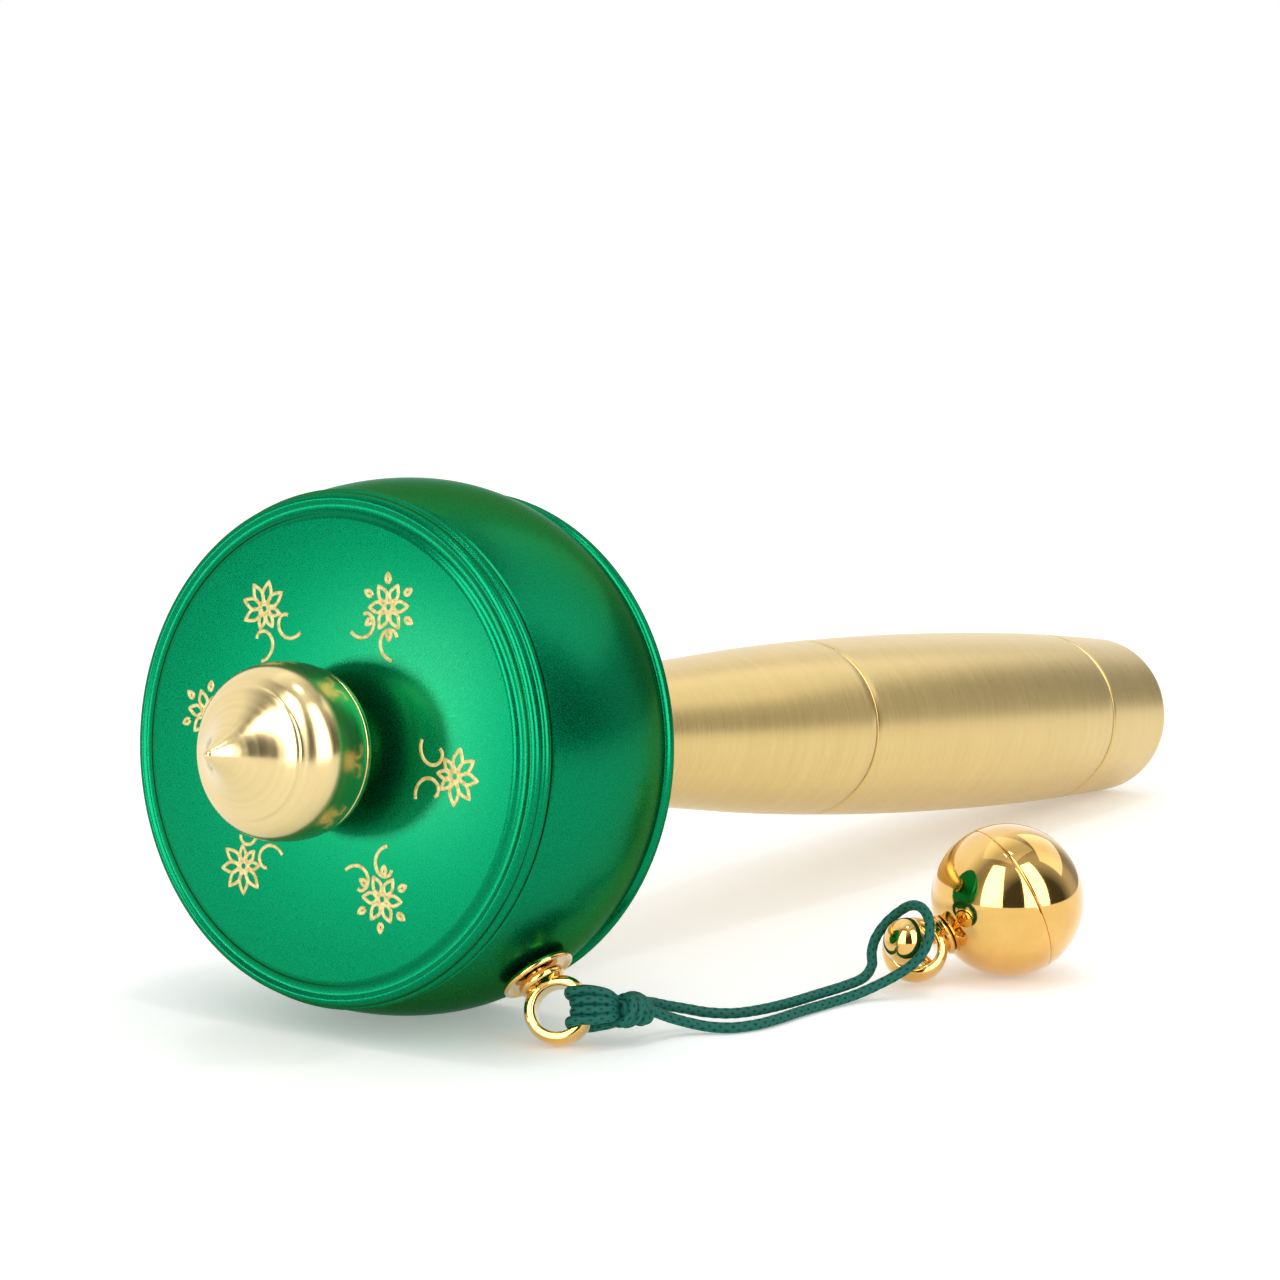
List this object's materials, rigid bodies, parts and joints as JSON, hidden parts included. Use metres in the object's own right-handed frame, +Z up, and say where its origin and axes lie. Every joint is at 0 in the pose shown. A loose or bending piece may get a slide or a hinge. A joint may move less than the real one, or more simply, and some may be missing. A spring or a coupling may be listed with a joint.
{
  "type": "hand prayer wheel",
  "caption": "Hand prayer wheel with a drum on two ball bearings, a turned metal handle, a pointed finial and a ball weight on a knotted cord",
  "frame": {"origin": "centre of the bounding box of everything but the cord, at the surface the wheel lies on", "axes": "+Z up; the spindle runs along X, seen from above, with the finial towards -X and the butt towards +X; the weight lies on the -Y side"},
  "size_m": [0.2088, 0.0868, 0.06],
  "materials": {
    "green": "satin green anodised",
    "gold": "brushed gold anodised",
    "polished_brass": "polished",
    "steel": "turned",
    "paper": "rolled",
    "card": "plain",
    "ribbon": "woven",
    "cord": "braided"
  },
  "bodies": {
    "handle": {"spindle": "steel", "thrust_washer": "steel", "top_washer": "steel", "bearing_spacer": "steel", "upper_bearing_inner": "steel", "lower_bearing_inner": "steel", "finial": "gold", "handle_collar": "polished_brass", "handle_fore": "gold", "handle_grip": "gold", "handle_butt_cap": "gold"},
    "drum": {"drum_lid": "green", "drum_shell": "green", "drum_base": "green", "upper_bearing_outer": "steel", "lower_bearing_outer": "steel", "scroll_core": "card", "prayer_scroll": "paper", "scroll_tie_1": "ribbon", "scroll_tie_2": "ribbon", "eyelet_flange": "polished_brass", "drum_eye": "polished_brass", "eyelet_nut": "steel"},
    "upper_cage": {"upper_bearing_cage": "steel"},
    "lower_cage": {"lower_bearing_cage": "steel"},
    "cord": {"cord_hitch": "cord", "cord_knot": "cord", "cord_loop": "cord", "toggle": "polished_brass"},
    "weight": {"weight_half_near": "polished_brass", "weight_half_far": "polished_brass", "weight_eye": "polished_brass", "weight_nut": "steel"}
  },
  "joints": [
    {"name": "drum_spin", "type": "hinge", "parent": "handle", "child": "drum", "pos_m": [-0.08509, 0.01343, 0.03154], "axis": [0.9944, 0, -0.1058], "continuous": true},
    {"name": "upper_cage_spin", "type": "hinge", "parent": "handle", "child": "upper_cage", "pos_m": [-0.08509, 0.01343, 0.03154], "axis": [0.9944, 0, -0.1058], "continuous": true},
    {"name": "lower_cage_spin", "type": "hinge", "parent": "handle", "child": "lower_cage", "pos_m": [-0.08509, 0.01343, 0.03154], "axis": [0.9944, 0, -0.1058], "continuous": true},
    {"name": "cord_swing", "type": "hinge", "parent": "drum", "child": "cord", "pos_m": [-0.07476, -0.01005, 0.00385], "axis": [-0.826, -0.3739, 0.4217], "range_deg": [-140, 25]},
    {"name": "weight_swing", "type": "hinge", "parent": "cord", "child": "weight", "pos_m": [-0.02825, -0.02754, 0.00395], "axis": [-0.868, -0.2939, 0.4002], "range_deg": [-45, 70]}
  ],
  "couplings": [
    {"joint": "upper_cage_spin", "follows": "drum_spin", "ratio": 0.61111},
    {"joint": "lower_cage_spin", "follows": "drum_spin", "ratio": 0.61111}
  ]
}
